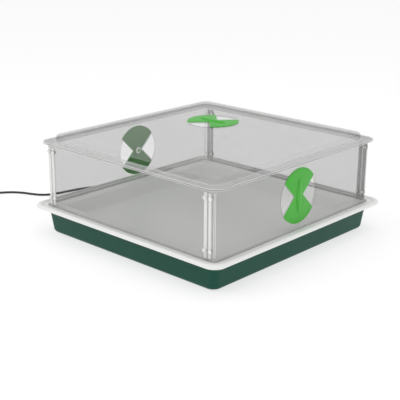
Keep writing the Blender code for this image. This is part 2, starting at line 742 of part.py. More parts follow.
def main():
    gland = gland_axis()
    make_base(gland)
    flat_slab("insulation_board", INSULATION_INSET, 0.020, BASE_WALL + GAP, INSULATION_TOP,
              0.0010, "foam_white")
    plate_low = INSULATION_TOP + GAP
    flat_slab("heater_plate", 0.072, 0.015, plate_low, plate_low + 0.0008, 0.0001, "foil")
    make_heating_cable(plate_low + 0.0008)
    make_growing_tray()
    make_connection_box()
    walls = make_walls()
    lid = make_lid()
    make_vent("left", walls["left"],
              axis_frame((-HALF_WALL_X, LEFT_VENT_Y, VENT_HEIGHT), (-1, 0, 0), (0, -1, 0)))
    make_vent("right", walls["right"],
              axis_frame((HALF_WALL_X, 0, VENT_HEIGHT), (1, 0, 0), (0, 1, 0)))
    make_vent("lid", lid, axis_frame((LID_VENT_X, LID_VENT_Y, LID_TOP), (0, 0, 1), (0, 1, 0)))
    make_gland(gland)
    curve = curve_tube("mains_lead", smooth_route(lead_route(gland), 0.0105), LEAD_RADIUS, 2)
    finish_curve(curve, "cord_black")
    tail = curve_tube("lead_tail", smooth_route(tail_route(), 0.008), LEAD_RADIUS, 2)
    finish_curve(tail, "cord_black")
    make_coil()
    make_cable_tie()
    make_plug()


main()
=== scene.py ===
from math import cos, pi, radians, sin, sqrt

import bpy
from mathutils import Matrix, Vector


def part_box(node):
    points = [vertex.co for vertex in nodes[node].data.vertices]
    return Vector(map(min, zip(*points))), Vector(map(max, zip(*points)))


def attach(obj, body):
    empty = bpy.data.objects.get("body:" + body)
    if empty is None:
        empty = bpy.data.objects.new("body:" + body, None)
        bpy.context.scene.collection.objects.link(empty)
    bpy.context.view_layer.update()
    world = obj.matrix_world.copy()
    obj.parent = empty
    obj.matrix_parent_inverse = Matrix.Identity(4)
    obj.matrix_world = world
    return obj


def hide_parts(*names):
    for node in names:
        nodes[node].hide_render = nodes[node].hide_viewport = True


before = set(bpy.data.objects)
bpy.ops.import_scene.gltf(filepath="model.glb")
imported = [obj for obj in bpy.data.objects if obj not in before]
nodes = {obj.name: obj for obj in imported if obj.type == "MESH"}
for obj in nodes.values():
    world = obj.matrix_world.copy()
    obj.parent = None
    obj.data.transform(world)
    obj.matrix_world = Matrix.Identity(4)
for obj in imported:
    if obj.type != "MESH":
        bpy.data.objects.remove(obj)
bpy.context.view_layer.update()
bpy.ops.object.select_all(action="DESELECT")

# The camera stands off the corner between the plain front wall and the vented right wall,
# a little above the lid, and looks slightly down.
camera_right = Vector((0.73306, 0.68014, 0.00633))
camera_up = Vector((-0.21848, 0.22664, 0.94916))
camera_back = Vector((0.64412, -0.69717, 0.31474))
bpy.ops.object.camera_add(location=(1.45006, -1.60197, 0.79199))
camera = bpy.context.object
camera.name = "camera"
camera.rotation_euler = (
    Matrix((camera_right, camera_up, camera_back)).transposed().to_euler())
camera.data.lens = 83.40
camera.data.sensor_width = 36.0
bpy.context.scene.camera = camera


# Studio: a plain pale floor that gives off a little light of its own, under an even white
# surround, with a large soft light high on the left, a weaker one on the right and one overhead.
def point_at(light, target):
    light.rotation_euler = (Vector(target) - light.location).to_track_quat("-Z", "Y").to_euler()


def add_soft_light(name, place, size, power):
    bpy.ops.object.light_add(type="AREA", location=place)
    light = bpy.context.object
    light.name = name
    light.data.shape = "SQUARE"
    light.data.size = size
    light.data.energy = power
    point_at(light, (0, 0, 0.12))


bpy.ops.mesh.primitive_circle_add(vertices=64, radius=45, fill_type="NGON", location=(0, 0, 0))
floor = bpy.context.object
floor.name = "floor"
floor_paint = bpy.data.materials.new("pale_floor")
floor_paint.use_nodes = True
floor_shader = floor_paint.node_tree.nodes["Principled BSDF"]
floor_shader.inputs["Base Color"].default_value = (0.42, 0.42, 0.42, 1)
floor_shader.inputs["Roughness"].default_value = 0.9
floor_shader.inputs["Specular IOR Level"].default_value = 0.1
floor_shader.inputs["Emission Color"].default_value = (1, 1, 1, 1)
floor_shader.inputs["Emission Strength"].default_value = 0.63
floor.data.materials.append(floor_paint)

surround = bpy.data.worlds.new("surround")
bpy.context.scene.world = surround
surround.use_nodes = True
surround.node_tree.nodes["Background"].inputs["Color"].default_value = (1, 1, 1, 1)
surround.node_tree.nodes["Background"].inputs["Strength"].default_value = 0.74
bpy.context.scene.view_settings.view_transform = "Standard"
add_soft_light("key_light", (-1.3, -2.0, 1.9), 1.6, 16)
add_soft_light("side_light", (2.2, -0.6, 1.2), 1.2, 5)
add_soft_light("top_light", (0.1, 0.3, 2.6), 1.8, 9)


# Lead: one length of black round flex, from the gland on the left side to a plug. Most of it
# is wound into a small coil, held by a tie; it leaves the gland through a tapered sleeve.
LEAD_RADIUS = 0.0030
COIL_X, COIL_Y = -0.671, -0.212
COIL_WIDEST = 0.0410
COIL_TIGHTEST = 0.0240
TURN_STEP = 0.0060
COIL_LOW, COIL_HIGH = 0.0048, 0.0110
PLUG_X = -0.632


class Wire:
    """A node's output; sums, differences, products and powers of wires add Math nodes."""

    def __init__(self, tree, socket=None):
        self.tree = tree
        self.socket = socket

    def node(self, kind, settings=(), sockets=(), out=0):
        """Any other node: its settings are set first, then its sockets' values or wires."""
        made = self.tree.nodes.new("ShaderNode" + kind)
        for name, value in dict(settings).items():
            if name == "stops":
                ramp = made.color_ramp
                while len(ramp.elements) < len(value):
                    ramp.elements.new(0.5)
                for element, (position, colour) in zip(ramp.elements, value):
                    element.position = position
                    element.color = (*colour, 1)
            else:
                setattr(made, name, value)
        for name, value in dict(sockets).items():
            if isinstance(value, Wire):
                self.tree.links.new(value.socket, made.inputs[name])
            else:
                made.inputs[name].default_value = value
        return Wire(self.tree, made.outputs[out])

    def maths(self, operation, left, right):
        return self.node("Math", {"operation": operation}, {0: left, 1: right})

    def clamped(self):
        return self.node("Clamp", {}, {"Value": self})

    def __add__(self, other):
        return self.maths("ADD", self, other)

    def __sub__(self, other):
        return self.maths("SUBTRACT", self, other)

    def __rsub__(self, other):
        return self.maths("SUBTRACT", other, self)

    def __mul__(self, other):
        return self.maths("MULTIPLY", self, other)

    def __pow__(self, other):
        return self.maths("POWER", self, other)

    __radd__ = __add__
    __rmul__ = __mul__


class Finish:
    """A material with one Principled shader, fed by wires."""

    def __init__(self, name, **constants):
        self.material = bpy.data.materials.new(name)
        self.material.use_nodes = True
        self.tree = self.material.node_tree
        self.shader = self.tree.nodes["Principled BSDF"]
        self.start = Wire(self.tree)
        for socket, value in constants.items():
            self.shader.inputs[socket.replace("_", " ")].default_value = value
        self.place = self.start.node("TexCoord", out="Object")

    def noise(self, scale, detail=3.0, roughness=0.5, stretch=(1, 1, 1), out=0):
        """Cloudy noise over the object, from 0 to 1, at so many cells a metre."""
        stretched = self.start.node("Mapping", {}, {"Vector": self.place, "Scale": stretch})
        return self.start.node("TexNoise", {}, {"Vector": stretched, "Scale": scale,
                                                "Detail": detail, "Roughness": roughness}, out=out)

    def mix(self, part, low, high):
        """A colour between two, as part goes from 0 to 1."""
        colours = {6: low, 7: high}
        colours = {k: v if isinstance(v, Wire) else (*v, 1) for k, v in colours.items()}
        return self.start.node("Mix", {"data_type": "RGBA"}, {0: part, **colours}, out=2)

    def bump(self, height, strength, distance):
        return self.start.node("Bump", {}, {"Height": height, "Strength": strength,
                                            "Distance": distance})

    def feed(self, **wires):
        for socket, wire in wires.items():
            self.tree.links.new(wire.socket, self.shader.inputs[socket.replace("_", " ")])
        return self.material


def paint(obj, material):
    """Put a material in an object's slots in place of what is there."""
    obj.data.materials.clear()
    obj.data.materials.append(material)


flex = Finish("flex", Roughness=0.5)
flex_grain = flex.noise(900, 2)
flex_dust = flex.noise(60, 4)
flex_black = flex.feed(
    Base_Color=flex.mix(flex_dust, (0.010, 0.010, 0.011), (0.024, 0.024, 0.025)),
    Roughness=flex_dust * 0.22 + 0.38,
    Normal=flex.bump(flex_grain, 0.25, 0.0004))

moulded = Finish("moulded_black")
moulded_grain = moulded.noise(1400, 2)
moulded_wear = moulded.noise(45, 4)
moulded_black = moulded.feed(
    Base_Color=moulded.mix(moulded_wear, (0.014, 0.014, 0.015), (0.028, 0.028, 0.029)),
    Roughness=moulded_wear * 0.18 + 0.36,
    Normal=moulded.bump(moulded_grain, 0.35, 0.0003))

# The route lies on the floor from the gland to the coil, in even loose curves.
GLAND_ORIGIN = Vector((-0.2720, 0.0850, 0.0300))
GLAND_AXIS = Vector((-0.9914, 0.0, -0.1307))
RELIEF_TIP = 0.0421
FLOOR_LIE = LEAD_RADIUS + 0.0002
lead_points = [GLAND_ORIGIN + GLAND_AXIS * out for out in (0.0201, RELIEF_TIP, 0.0541)]
lead_points += [Vector(p) for p in (
    (-0.3440, 0.0848, 0.0172), (-0.3660, 0.0830, 0.0096), (-0.3880, 0.0780, 0.0045),
    (-0.4120, 0.0690, FLOOR_LIE), (-0.4360, 0.0530, FLOOR_LIE), (-0.4550, 0.0300, FLOOR_LIE),
    (-0.4670, 0.0020, FLOOR_LIE), (-0.4760, -0.0270, FLOOR_LIE),
    (-0.4820, -0.0550, FLOOR_LIE), (-0.4870, -0.0820, FLOOR_LIE),
    (-0.4950, -0.1070, FLOOR_LIE), (-0.5110, -0.1250, FLOOR_LIE),
    (-0.5340, -0.1370, FLOOR_LIE), (-0.5600, -0.1480, FLOOR_LIE),
    (-0.5850, -0.1655, FLOOR_LIE), (-0.6055, -0.1915, FLOOR_LIE),
    (-0.6228, -0.2150, FLOOR_LIE))]

# The coil: inwards in a flat spiral, up a layer within half a turn, and out again on top.
COIL_START = radians(-36.6)
SPIRAL_IN, CLIMB, WHOLE_COIL = 1020, 180, 2123
for turned_by in range(0, WHOLE_COIL, 15):
    if turned_by < SPIRAL_IN:
        reach, lift = COIL_WIDEST - TURN_STEP * turned_by / 360, 0.0
    elif turned_by < SPIRAL_IN + CLIMB:
        part = (turned_by - SPIRAL_IN) / CLIMB
        reach, lift = COIL_TIGHTEST - 0.0005 * sin(pi * part), (1 - cos(pi * part)) / 2
    else:
        reach = COIL_TIGHTEST + TURN_STEP * (turned_by - SPIRAL_IN - CLIMB) / 360
        lift = 1.0
    angle = COIL_START - radians(turned_by)
    lead_points.append(Vector((COIL_X + reach * cos(angle), COIL_Y + reach * sin(angle),
                               COIL_LOW + (COIL_HIGH - COIL_LOW) * lift)))
lead_points += [Vector((PLUG_X, COIL_Y - away, height)) for away, height in (
    (0.0130, 0.0112), (0.0285, 0.0111), (0.0400, 0.0104), (0.0505, 0.0100))]

lead_curve = bpy.data.curves.new("lead", "CURVE")
lead_curve.dimensions = "3D"
lead_curve.bevel_depth = LEAD_RADIUS
lead_curve.bevel_resolution = 5
lead_curve.resolution_u = 6
lead_curve.use_fill_caps = True
lead_line = lead_curve.splines.new("BEZIER")
lead_line.bezier_points.add(len(lead_points) - 1)
for knot, point in zip(lead_line.bezier_points, lead_points):
    knot.co = point
    knot.handle_left_type = knot.handle_right_type = "AUTO"
lead = bpy.data.objects.new("lead", lead_curve)
bpy.context.scene.collection.objects.link(lead)
lead_curve.materials.append(flex_black)
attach(lead, "base")
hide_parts("mains_lead", "lead_tail", "lead_coil")


def choose(test, kind="VERT"):
    """Select what passes a test on the active piece: its vertices, edges or faces."""
    bpy.ops.mesh.select_mode(type=kind)
    bpy.ops.mesh.select_all(action="DESELECT")
    bpy.ops.object.mode_set(mode="OBJECT")
    mesh = bpy.context.object.data
    for item in {"VERT": mesh.vertices, "EDGE": mesh.edges, "FACE": mesh.polygons}[kind]:
        item.select = test(item)
    bpy.ops.object.mode_set(mode="EDIT")


def start_round(name, radius, z, around=40):
    """Start a turned piece: its first rim stands open and selected, round the Z axis."""
    bpy.ops.object.select_all(action="DESELECT")
    bpy.ops.mesh.primitive_circle_add(vertices=around, radius=radius, location=(0, 0, 0))
    bpy.context.object.name = name
    bpy.ops.object.mode_set(mode="EDIT")
    bpy.ops.mesh.select_all(action="SELECT")
    bpy.ops.transform.translate(value=(0, 0, z))
    return bpy.context.object


def draw_out(levels, start):
    """Extrude the selected rim through levels of (half width, half depth, height)."""
    x, y, z = start
    for next_x, next_y, next_z in levels:
        bpy.ops.mesh.extrude_region_move()
        bpy.ops.transform.resize(value=(next_x / x, next_y / y, 1),
                                 center_override=(0, 0, z))
        bpy.ops.transform.translate(value=(0, 0, next_z - z))
        x, y, z = next_x, next_y, next_z


def close_up(around, joined=False):
    """Fill the first and last rims of a drawn-out piece, or join them to each other."""
    total = len_of_active()
    first, last = range(around), range(total - around, total)
    if joined:
        choose(lambda v: v.index in first or v.index in last)
        bpy.ops.mesh.bridge_edge_loops()
    else:
        for rim in (first, last):
            choose(lambda v: v.index in rim)
            bpy.ops.mesh.edge_face_add()
    bpy.ops.mesh.select_all(action="SELECT")
    bpy.ops.mesh.normals_make_consistent(inside=False)
    bpy.ops.object.mode_set(mode="OBJECT")


def len_of_active():
    bpy.ops.object.mode_set(mode="OBJECT")
    total = len(bpy.context.object.data.vertices)
    bpy.ops.object.mode_set(mode="EDIT")
    return total


def only(piece):
    bpy.ops.object.select_all(action="DESELECT")
    piece.select_set(True)
    bpy.context.view_layer.objects.active = piece


def stand(piece, placing):
    """Put a piece in its place, and the place in its mesh."""
    only(piece)
    piece.matrix_world = placing
    bpy.ops.object.transform_apply(location=True, rotation=True, scale=True)


def smooth(piece, degrees=35):
    only(piece)
    bpy.ops.object.shade_smooth_by_angle(angle=radians(degrees))


def round_edges(piece, width, segments=2, above=30):
    """Ease a piece's sharp edges, as a mould does."""
    only(piece)
    easing = piece.modifiers.new("easing", "BEVEL")
    easing.width = width
    easing.segments = segments
    easing.limit_method = "ANGLE"
    easing.angle_limit = radians(above)
    bpy.ops.object.modifier_apply(modifier="easing")


def finish_piece(piece, material, body, slot, *stands_for):
    piece.data.name = piece.name
    paint(piece, material)
    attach(piece, body)
    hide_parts(*stands_for)


def turned(name, profile, around=40, joined=False):
    """A piece turned round the Z axis from (radius, height) steps."""
    piece = start_round(name, *profile[0], around)
    draw_out([(r, r, z) for r, z in profile[1:]], (profile[0][0], profile[0][0], profile[0][1]))
    close_up(around, joined)
    return piece


def axis_placing(origin, outward, sideways):
    """The placing of a piece whose own Z points outward and whose own X points sideways."""
    z = Vector(outward).normalized()
    x = (Vector(sideways) - z * Vector(sideways).dot(z)).normalized()
    placing = Matrix((x, z.cross(x), z)).transposed().to_4x4()
    placing.translation = origin
    return placing


# The tapered sleeve has moulded rings, so that it bends evenly.
gland_placing = axis_placing(GLAND_ORIGIN, GLAND_AXIS, (0, 1, 0))
SLEEVE_FOOT = 0.0081
SLEEVE_RINGS = 7
sleeve_steps = [(0.0036, SLEEVE_FOOT), (0.0062, SLEEVE_FOOT), (0.0062, SLEEVE_FOOT + 0.0022),
                (0.0057, SLEEVE_FOOT + 0.0028)]
for ring in range(SLEEVE_RINGS):
    bottom = SLEEVE_FOOT + 0.0044 + ring * 0.0039
    wide = 0.0057 - ring * 0.00021
    sleeve_steps += [(wide, bottom), (wide - 0.0008, bottom + 0.0003),
                     (wide - 0.0009, bottom + 0.0013), (wide - 0.0002, bottom + 0.0017)]
sleeve_steps += [(0.0043, RELIEF_TIP - 0.0014), (0.0041, RELIEF_TIP - 0.0003),
                 (0.0037, RELIEF_TIP), (0.0031, RELIEF_TIP)]
sleeve = turned("lead_sleeve", sleeve_steps, 32, joined=True)
stand(sleeve, gland_placing)
smooth(sleeve, 40)
finish_piece(sleeve, flex_black, "base", "cord_black", "strain_relief")

# Gland: a black flanged bush that grips the sleeve, with flats for a spanner round its nose
# and a nut behind it, inside the base.
GLAND_NOSE = 0.0078
bush = turned("gland_bush", [
    (0.0037, -0.0120), (0.0060, -0.0120), (0.0062, -0.0114), (0.0062, 0.0003),
    (0.0096, 0.0003), (0.0100, 0.0008), (0.0099, 0.0030), (0.0090, 0.0034),
    (0.0089, 0.0058), (0.0083, 0.0070), (0.0074, GLAND_NOSE), (0.0048, GLAND_NOSE),
    (0.0037, 0.0066)], 36, joined=True)
bpy.ops.object.mode_set(mode="EDIT")
choose(lambda f: abs(f.center.z - 0.0046) < 0.0010 and f.index % 3 != 0
       and f.center.to_2d().length > 0.008, "FACE")
bpy.ops.mesh.inset(thickness=0.0001, depth=-0.0004, use_individual=False)
bpy.ops.object.mode_set(mode="OBJECT")
stand(bush, gland_placing)
smooth(bush)
finish_piece(bush, moulded_black, "base", "moulding_black", "cable_gland")
paint(nodes["gland_nut"], moulded_black)
paint(nodes["connection_box"], moulded_black)

# Tie: a thin strap round the coil's bundle, with its lock on the outside.
paint(nodes["cable_tie"], moulded_black)

# Plug: a black three-pin mains plug lying on its back, with its pins up, a fluted grip on
# its sides, a cover screw and a short boot where the lead goes in.
PLUG_LOW, PLUG_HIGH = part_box("plug_body")
PLUG_MIDDLE = (PLUG_LOW + PLUG_HIGH) / 2
bpy.ops.object.select_all(action="DESELECT")
bpy.ops.mesh.primitive_cube_add(size=1, location=(0, 0, 0))
plug = bpy.context.object
plug.name = "plug"
plug.scale = PLUG_HIGH - PLUG_LOW
plug.location = PLUG_MIDDLE
bpy.ops.object.transform_apply(location=True, rotation=True, scale=True)
bpy.ops.object.mode_set(mode="EDIT")
choose(lambda e: abs(plug.data.vertices[e.vertices[0]].co.z
                     - plug.data.vertices[e.vertices[1]].co.z) > 0.01, "EDGE")
bpy.ops.mesh.bevel(offset=0.0100, segments=6, profile=0.5)
choose(lambda f: f.normal.z > 0.9, "FACE")
bpy.ops.mesh.inset(thickness=0.0022, depth=0)
bpy.ops.mesh.inset(thickness=0.0004, depth=-0.0006)
choose(lambda f: f.normal.z < -0.9, "FACE")
bpy.ops.mesh.inset(thickness=0.0030, depth=0)
bpy.ops.mesh.inset(thickness=0.0006, depth=0.0002)
choose(lambda f: abs(f.normal.x) > 0.98, "FACE")
bpy.ops.mesh.subdivide(number_cuts=9)
choose(lambda f: abs(f.normal.x) > 0.98 and abs(f.center.z - PLUG_MIDDLE.z) < 0.0055
       and abs(f.center.y - PLUG_MIDDLE.y) < 0.012
       and round((f.center.y - PLUG_LOW.y) / 0.0030) % 2 == 0, "FACE")
bpy.ops.mesh.inset(thickness=0.0003, depth=-0.0007)
bpy.ops.object.mode_set(mode="OBJECT")
round_edges(plug, 0.0009, 3, 50)
smooth(plug)
finish_piece(plug, moulded_black, "base", "moulding_black", "plug_body")

plug_boot = turned("plug_boot_moulding", [
    (0.0066, -0.0012), (0.0065, 0.0010), (0.0060, 0.0030), (0.0054, 0.0034),
    (0.0056, 0.0052), (0.0051, 0.0056), (0.0052, 0.0074), (0.0047, 0.0078),
    (0.0047, 0.0098), (0.0043, 0.0116), (0.0034, 0.0120)], 28)
stand(plug_boot, axis_placing((PLUG_X, PLUG_HIGH.y + 0.0003, 0.0100), (0, 1, 0), (1, 0, 0)))
smooth(plug_boot, 40)
finish_piece(plug_boot, moulded_black, "base", "moulding_black", "plug_boot")

brass = Finish("brass", Metallic=1.0)
brass_marks = brass.noise(700, 3, stretch=(1, 1, 0.12))
brass_tarnish = brass.noise(120, 4)
pin_brass = brass.feed(
    Base_Color=brass.mix(brass_tarnish, (0.74, 0.56, 0.25), (0.55, 0.39, 0.16)),
    Roughness=brass_marks * 0.20 + 0.20,
    Normal=brass.bump(brass_marks, 0.15, 0.0002))
for pin_name in ("plug_pin_earth", "plug_pin_live", "plug_pin_neutral"):
    paint(nodes[pin_name], pin_brass)

# Base: a deep tray of dark green styrene, vacuum formed, with sloping sides, a soft radius
# at its foot and a narrow rim that carries the white tray. It hides the heater.
HALF_X, HALF_Y = 0.300, 0.310
FOOT_INSET = 0.0407
FOOT_RADIUS = 0.0100
CORNER_STEPS = 10


def start_rectangle(name, inset, z, radius):
    """Start a formed sheet: its first rim, a rectangle with round corners, stands selected."""
    bpy.ops.object.select_all(action="DESELECT")
    bpy.ops.mesh.primitive_plane_add(size=2, location=(0, 0, 0))
    piece = bpy.context.object
    piece.name = name
    piece.scale = (HALF_X - inset, HALF_Y - inset, 1)
    piece.location.z = z
    bpy.ops.object.transform_apply(location=True, rotation=True, scale=True)
    bpy.ops.object.mode_set(mode="EDIT")
    bpy.ops.mesh.select_all(action="SELECT")
    bpy.ops.mesh.bevel(offset=radius, segments=CORNER_STEPS, affect="VERTICES", profile=0.5)
    bpy.ops.mesh.select_all(action="SELECT")
    bpy.ops.mesh.delete(type="ONLY_FACE")
    bpy.ops.mesh.select_all(action="SELECT")
    return piece


def formed(name, levels, radius, joined=False):
    """A formed sheet from (inset from the tray's edge, height) levels, round its section."""
    piece = start_rectangle(name, *levels[0], radius)
    around = 4 * (CORNER_STEPS + 1)
    sizes = [(HALF_X - inset, HALF_Y - inset, z) for inset, z in levels]
    draw_out(sizes[1:], sizes[0])
    close_up(around, joined)
    return piece


def fillet(inset, z, radius, start, end, steps):
    """Levels on an arc about a point; 0 degrees points outwards and 90 degrees up."""
    turns = [radians(start + (end - start) * step / steps) for step in range(steps + 1)]
    return [(inset - radius * cos(turn), z + radius * sin(turn)) for turn in turns]


base_levels = fillet(FOOT_INSET, FOOT_RADIUS, FOOT_RADIUS, 270, 352, 8)
base_levels += [(0.0272, 0.0400), (0.0238, 0.0618), (0.0233, 0.0632), (0.0222, 0.0640),
                (0.0146, 0.0640), (0.0140, 0.0646), (0.0140, 0.0656), (0.0146, 0.0662),
                (0.0252, 0.0662), (0.0262, 0.0655), (0.0270, 0.0600)]
base_levels += fillet(FOOT_INSET, FOOT_RADIUS, FOOT_RADIUS - 0.0024, 352, 270, 5)
base = formed("base", base_levels, 0.0180)
bpy.ops.mesh.primitive_cylinder_add(vertices=32, radius=0.0066, depth=0.03)
gland_hole = bpy.context.object
stand(gland_hole, gland_placing)
only(base)
hole_cut = base.modifiers.new("gland_hole", "BOOLEAN")
hole_cut.operation = "DIFFERENCE"
hole_cut.object = gland_hole
bpy.ops.object.modifier_apply(modifier="gland_hole")
bpy.data.objects.remove(gland_hole)
smooth(base, 32)

green = Finish("base_green", Specular_IOR_Level=0.14)
green_cloud = green.noise(7, 3)
green_pull = green.noise(26, 4, stretch=(1, 1, 0.25))
green_grain = green.noise(1500, 2)
green_scuff = green.noise(90, 6, 0.7)
low_on_side = (green.start.node("SeparateXYZ", {}, {"Vector": green.place}, out=2)
               * -40 + 0.35).clamped()
green_wear = (low_on_side * ((green_scuff - 0.52) * 6).clamped()).clamped()
base_green = green.feed(
    Base_Color=green.mix(green_wear * 0.45, green.mix(
        green_cloud, (0.009, 0.066, 0.044), (0.014, 0.080, 0.055)), (0.08, 0.15, 0.12)),
    Roughness=green_pull * 0.16 + green_wear * 0.2 + 0.30,
    Normal=green.bump(green_grain * 0.4 + green_pull * 0.6, 0.22, 0.0008))
finish_piece(base, base_green, "base", "base_green", "base_tray")

# Inside the base, out of sight: a rigid foam board, an aluminium plate that spreads the
# warmth, and a silicone-sheathed heating cable in nine runs.
foam = Finish("foam_board", Roughness=0.85)
foam_beads = foam.start.node("TexVoronoi", {}, {"Vector": foam.place, "Scale": 320})
foam_white = foam.feed(
    Base_Color=foam.mix(foam_beads, (0.84, 0.84, 0.82), (0.66, 0.66, 0.64)),
    Normal=foam.bump(foam_beads, 0.5, 0.0015))
paint(nodes["insulation_board"], foam_white)

plate = Finish("rolled_aluminium", Metallic=1.0)
plate_grain = plate.noise(240, 3, stretch=(0.03, 1, 1))
plate_aluminium = plate.feed(
    Base_Color=plate.mix(plate_grain, (0.86, 0.86, 0.87), (0.72, 0.72, 0.73)),
    Roughness=plate_grain * 0.18 + 0.22,
    Normal=plate.bump(plate_grain, 0.15, 0.0003))
paint(nodes["heater_plate"], plate_aluminium)

silicone = Finish("silicone_sheath")
silicone_cloud = silicone.noise(70, 4)
silicone_red = silicone.feed(
    Base_Color=silicone.mix(silicone_cloud, (0.46, 0.065, 0.04), (0.36, 0.05, 0.035)),
    Roughness=silicone_cloud * 0.2 + 0.45,
    Normal=silicone.bump(silicone.noise(1100, 2), 0.2, 0.0003))
paint(nodes["heating_cable"], silicone_red)

# Growing tray: white styrene with a recessed floor for the pots, a flat flange under the
# walls and a rolled outer lip that drops over the base's rim.
TRAY_FLOOR = 0.0360
tray_levels = [(0.0626, 0.0335), (0.0612, 0.0344), (0.0598, 0.0372), (0.0532, 0.0646),
               (0.0526, 0.0657), (0.0508, 0.0665), (0.0125, 0.0665), (0.0104, 0.0676),
               (0.0094, 0.0692), (0.0078, 0.0708), (0.0050, 0.0710), (0.0032, 0.0700),
               (0.0026, 0.0680), (0.0026, 0.0648), (0.0022, 0.0645), (0.0008, 0.0645),
               (0.0002, 0.0650)]
tray_levels += fillet(0.0062, 0.0673, 0.0062, 0, 82, 7)
tray_levels += [(0.0078, 0.0733), (0.0090, 0.0727), (0.0102, 0.0716), (0.0113, 0.0703),
                (0.0124, 0.0694), (0.0138, 0.0690), (0.0516, 0.0690), (0.0534, 0.0687),
                (0.0547, 0.0678), (0.0555, 0.0664), (0.0590, 0.0520), (0.0620, 0.0386),
                (0.0628, 0.0370), (0.0641, 0.0362), (0.0662, TRAY_FLOOR)]
tray = formed("growing_tray_sheet", tray_levels, 0.0215)
smooth(tray, 40)

white = Finish("tray_white")
white_cloud = white.noise(5, 3)
white_grain = white.noise(1200, 2)
white_haze = white.noise(38, 5, 0.6)
tray_white = white.feed(
    Base_Color=white.mix(white_cloud, (0.80, 0.805, 0.790), (0.86, 0.865, 0.850)),
    Roughness=white_haze * 0.18 + 0.30,
    Normal=white.bump(white_grain * 0.3 + white_haze * 0.7, 0.15, 0.0008))
finish_piece(tray, tray_white, "base", "tray_white", "growing_tray")

# Walls: four clear styrene sheets, each with a foot that stands on the flange and a flared
# top that the lid sits on. Cut edges and folds gather light, so they look whiter.
HALF_WALL_X, HALF_WALL_Y = 0.270, 0.280
WALL_SHEET = 0.0020
WALL_FLARE = 0.2180
VENT_HEIGHT = 0.1485
LEFT_VENT_Y = 0.016


def within(wire, low, high, soft=0.0003):
    """1 where a wire lies between two values, falling to 0 just outside them."""
    return (((wire - low) * (1 / soft)).clamped() * ((high - wire) * (1 / soft)).clamped())


def clear_sheet(name, painted_highlight_places):
    """Clear styrene: its colour is a painted sheen, near black face on and pale grey edge on, and
    painted highlights make it whiter and more opaque in the places given.
    """
    clear = Finish(name, IOR=1.5)
    clear.x, clear.y, clear.z = (
        clear.start.node("SeparateXYZ", {}, {"Vector": clear.place}, out=axis)
        for axis in range(3))
    edge = clear.start.node("LayerWeight", {}, {"Blend": 0.32}, out=1)
    cloud = clear.noise(9, 3)
    ripple = clear.noise(22, 2, stretch=(1, 1, 0.35))
    dust = clear.noise(420, 3, 0.7)
    # Painted highlights: the places given are painted whiter and more opaque, where light gathers
    # in the sheet.
    painted_highlight = painted_highlight_places(clear).clamped()
    # Painted sheen: the sheet's colour runs from near black face on to pale grey edge on, in place
    # of the light it reflects at a glancing angle.
    sheet_grey_and_painted_sheen = clear.mix(edge ** 2, (0.040, 0.042, 0.038), (0.66, 0.665, 0.655))
    return clear.feed(
        Base_Color=clear.mix(painted_highlight, sheet_grey_and_painted_sheen, (0.88, 0.885, 0.875)),
        Roughness=dust * 0.08 + painted_highlight * 0.15 + 0.06,
        Alpha=(edge ** 2 * 0.28 + cloud * 0.03 + dust * 0.02 + painted_highlight * 0.50 + 0.108).clamped(),
        Normal=clear.bump(ripple, 0.10, 0.0020))


# Painted highlights on the walls: the cut edges at the corners, the flared top and the foot, where
# light gathers.
def wall_painted_highlights(clear):
    across_x = clear.start.maths("ABSOLUTE", clear.x, 0.0)
    across_y = clear.start.maths("ABSOLUTE", clear.y, 0.0)
    in_end = within(across_x, HALF_WALL_X - WALL_SHEET + 0.0004, HALF_WALL_X - 0.0004)
    in_side = within(across_y, HALF_WALL_Y - WALL_SHEET + 0.0004, HALF_WALL_Y - 0.0004)
    flat = within(clear.z, 0.0750, WALL_FLARE, 0.0010)
    flare = ((clear.z - WALL_FLARE) * 900).clamped()
    return (in_end + in_side) * flat + flare * 0.45 + within(clear.z, 0.0, 0.0716, 0.0012) * 0.30


wall_clear = clear_sheet("wall_clear", wall_painted_highlights)
for wall_name in ("front_wall", "rear_wall", "left_wall", "right_wall"):
    paint(nodes[wall_name], wall_clear)

# Corner strips: four extruded strips of clear styrene over the seams between walls, each with
# two broad raised ribs that look white because light gathers in them.
STRIP_INSET = 0.0178
STRIP_WIDTH = 0.0225
STRIP_LOW, STRIP_HIGH = 0.0740, 0.2165
STRIP_SHEET, RIB_CROWN = 0.0012, 0.0029
RIB_MIDDLE, RIB_HALF = 0.0059, 0.0046
STRIP_CUTS = 17
WALL_GAP = 0.0003

bpy.ops.object.select_all(action="DESELECT")
bpy.ops.mesh.primitive_plane_add(size=1, rotation=(radians(90), 0, 0),
                                 location=(0, 0, (STRIP_LOW + STRIP_HIGH) / 2))
strip = bpy.context.object
strip.scale = (STRIP_WIDTH, STRIP_HIGH - STRIP_LOW, 1)
bpy.ops.object.transform_apply(location=True, rotation=True, scale=True)
bpy.ops.object.mode_set(mode="EDIT")
bpy.ops.mesh.select_all(action="SELECT")
bpy.ops.mesh.subdivide(number_cuts=STRIP_CUTS)
for column in range(STRIP_CUTS + 2):
    across = STRIP_WIDTH * (column / (STRIP_CUTS + 1) - 0.5)
    on_a_rib = abs(abs(across) - RIB_MIDDLE) < RIB_HALF
    rise = RIB_CROWN - WALL_GAP if on_a_rib else STRIP_SHEET
    choose(lambda v: abs(v.co.x - across) < 0.0002)
    bpy.ops.transform.translate(value=(0, -rise, 0))
bpy.ops.mesh.select_all(action="SELECT")
bpy.ops.mesh.extrude_region_move()
bpy.ops.transform.resize(value=(1, 0, 1), center_override=(0, 0, 0))
bpy.ops.mesh.select_all(action="SELECT")
bpy.ops.mesh.normals_make_consistent(inside=False)
bpy.ops.object.mode_set(mode="OBJECT")
round_edges(strip, 0.0003, 2, 20)
smooth(strip, 40)

